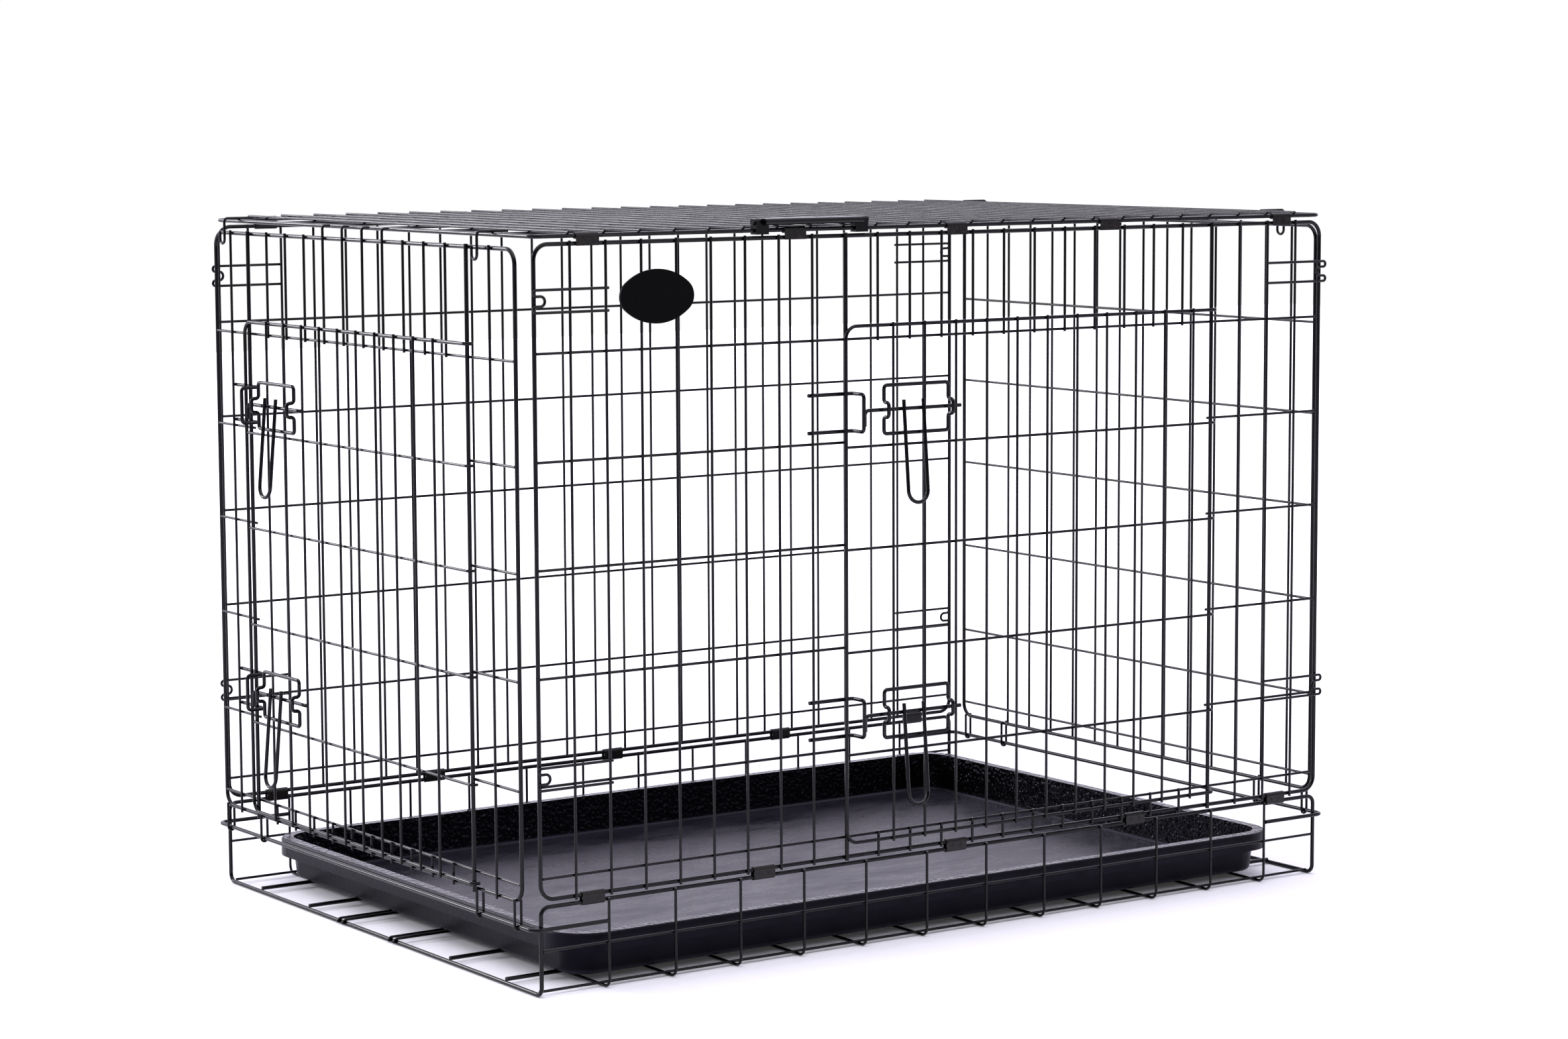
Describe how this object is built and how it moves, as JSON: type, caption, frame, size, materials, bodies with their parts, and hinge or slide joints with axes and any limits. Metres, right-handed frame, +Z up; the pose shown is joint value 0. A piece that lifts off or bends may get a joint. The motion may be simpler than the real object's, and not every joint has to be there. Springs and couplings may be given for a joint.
{
  "type": "folding dog crate",
  "caption": "Folding wire dog crate with hinged walls, lid, front and side doors with slide bolts, and a pull-out tray.",
  "frame": {"origin": "on the floor below the middle of the crate", "axes": "+X along the front to the right, +Y from front to rear, +Z up"},
  "size_m": [1.1246, 0.7502, 0.7915],
  "materials": {
    "heavy_wire": "glossy black coating",
    "grid_wire": "glossy black coating",
    "latch_wire": "glossy black coating",
    "clip": "satin black coating",
    "tray": "hammered grain",
    "badge": "glossy",
    "handle": "satin"
  },
  "bodies": {
    "base": {"base_frame": "heavy_wire", "base_cross_wires": "grid_wire", "base_runners": "grid_wire", "end_rails": "heavy_wire", "front_lip_clips": "clip", "rear_lip_clips": "clip", "pan_stop_front": "grid_wire", "pan_stop_rear": "grid_wire"},
    "tray": {"tray": "tray"},
    "front_wall": {"front_frame": "heavy_wire", "front_uprights": "grid_wire", "front_cross_wires": "grid_wire", "front_doorway": "heavy_wire", "front_catches": "heavy_wire", "badge_plate": "badge", "front_keepers": "latch_wire"},
    "front_door": {"front_door_frame": "heavy_wire", "front_door_uprights": "grid_wire", "front_door_cross_wires": "grid_wire", "front_bolt_guides": "latch_wire"},
    "front_bolt_lower": {"front_bolt_lower": "latch_wire"},
    "front_bolt_upper": {"front_bolt_upper": "latch_wire"},
    "rear_wall": {"rear_frame": "heavy_wire", "rear_uprights": "grid_wire", "rear_cross_wires": "grid_wire", "rear_catches": "heavy_wire", "rear_top_clips": "clip"},
    "lid": {"lid_frame": "heavy_wire", "lid_cross_wires": "grid_wire", "lid_long_wires": "grid_wire", "lid_hooks": "grid_wire", "lid_front_clips": "clip", "carry_handle": "handle"},
    "left_wall": {"left_frame": "heavy_wire", "left_uprights": "grid_wire", "left_cross_wires": "grid_wire", "left_doorway": "heavy_wire", "left_staples": "grid_wire", "left_hinge_eyes": "grid_wire", "left_keepers": "latch_wire"},
    "left_door": {"left_door_frame": "heavy_wire", "left_door_uprights": "grid_wire", "left_door_cross_wires": "grid_wire", "left_bolt_guides": "latch_wire"},
    "left_bolt_lower": {"left_bolt_lower": "latch_wire"},
    "left_bolt_upper": {"left_bolt_upper": "latch_wire"},
    "right_wall": {"right_frame": "heavy_wire", "right_uprights": "grid_wire", "right_cross_wires": "grid_wire", "right_staples": "grid_wire", "right_hinge_eyes": "grid_wire"}
  },
  "joints": [
    {"name": "tray_slide", "type": "slide", "parent": "base", "child": "tray", "axis": [-1, 0, 0], "range_m": [0, 0.95]},
    {"name": "front_fold", "type": "hinge", "parent": "base", "child": "front_wall", "pos_m": [0, -0.3555, 0.102], "axis": [1, 0, 0], "range_deg": [-88, 0]},
    {"name": "front_door_swing", "type": "hinge", "parent": "front_wall", "child": "front_door", "pos_m": [0.36278, -0.3599, 0.396], "axis": [0, 0, 1], "range_deg": [0, 155]},
    {"name": "front_lower_bolt", "type": "slide", "parent": "front_door", "child": "front_bolt_lower", "axis": [1, 0, 0], "range_m": [-0.018, 0.019]},
    {"name": "front_upper_bolt", "type": "slide", "parent": "front_door", "child": "front_bolt_upper", "axis": [1, 0, 0], "range_m": [-0.018, 0.019]},
    {"name": "rear_fold", "type": "hinge", "parent": "base", "child": "rear_wall", "pos_m": [0, 0.3555, 0.102], "axis": [1, 0, 0], "range_deg": [-95, 0]},
    {"name": "lid_lift", "type": "hinge", "parent": "rear_wall", "child": "lid", "pos_m": [0, 0.3555, 0.779], "axis": [-1, 0, 0], "range_deg": [0, 180]},
    {"name": "left_fold", "type": "hinge", "parent": "base", "child": "left_wall", "pos_m": [-0.5425, 0, 0.072], "axis": [0, 1, 0], "range_deg": [0, 90]},
    {"name": "left_door_swing", "type": "hinge", "parent": "left_wall", "child": "left_door", "pos_m": [-0.5469, -0.2475, 0.38], "axis": [0, 0, -1], "range_deg": [-155, 0]},
    {"name": "left_lower_bolt", "type": "slide", "parent": "left_door", "child": "left_bolt_lower", "axis": [0, -1, 0], "range_m": [-0.018, 0.019]},
    {"name": "left_upper_bolt", "type": "slide", "parent": "left_door", "child": "left_bolt_upper", "axis": [0, -1, 0], "range_m": [-0.018, 0.019]},
    {"name": "right_fold", "type": "hinge", "parent": "base", "child": "right_wall", "pos_m": [0.5425, 0, 0.072], "axis": [0, -1, 0], "range_deg": [0, 84]}
  ]
}
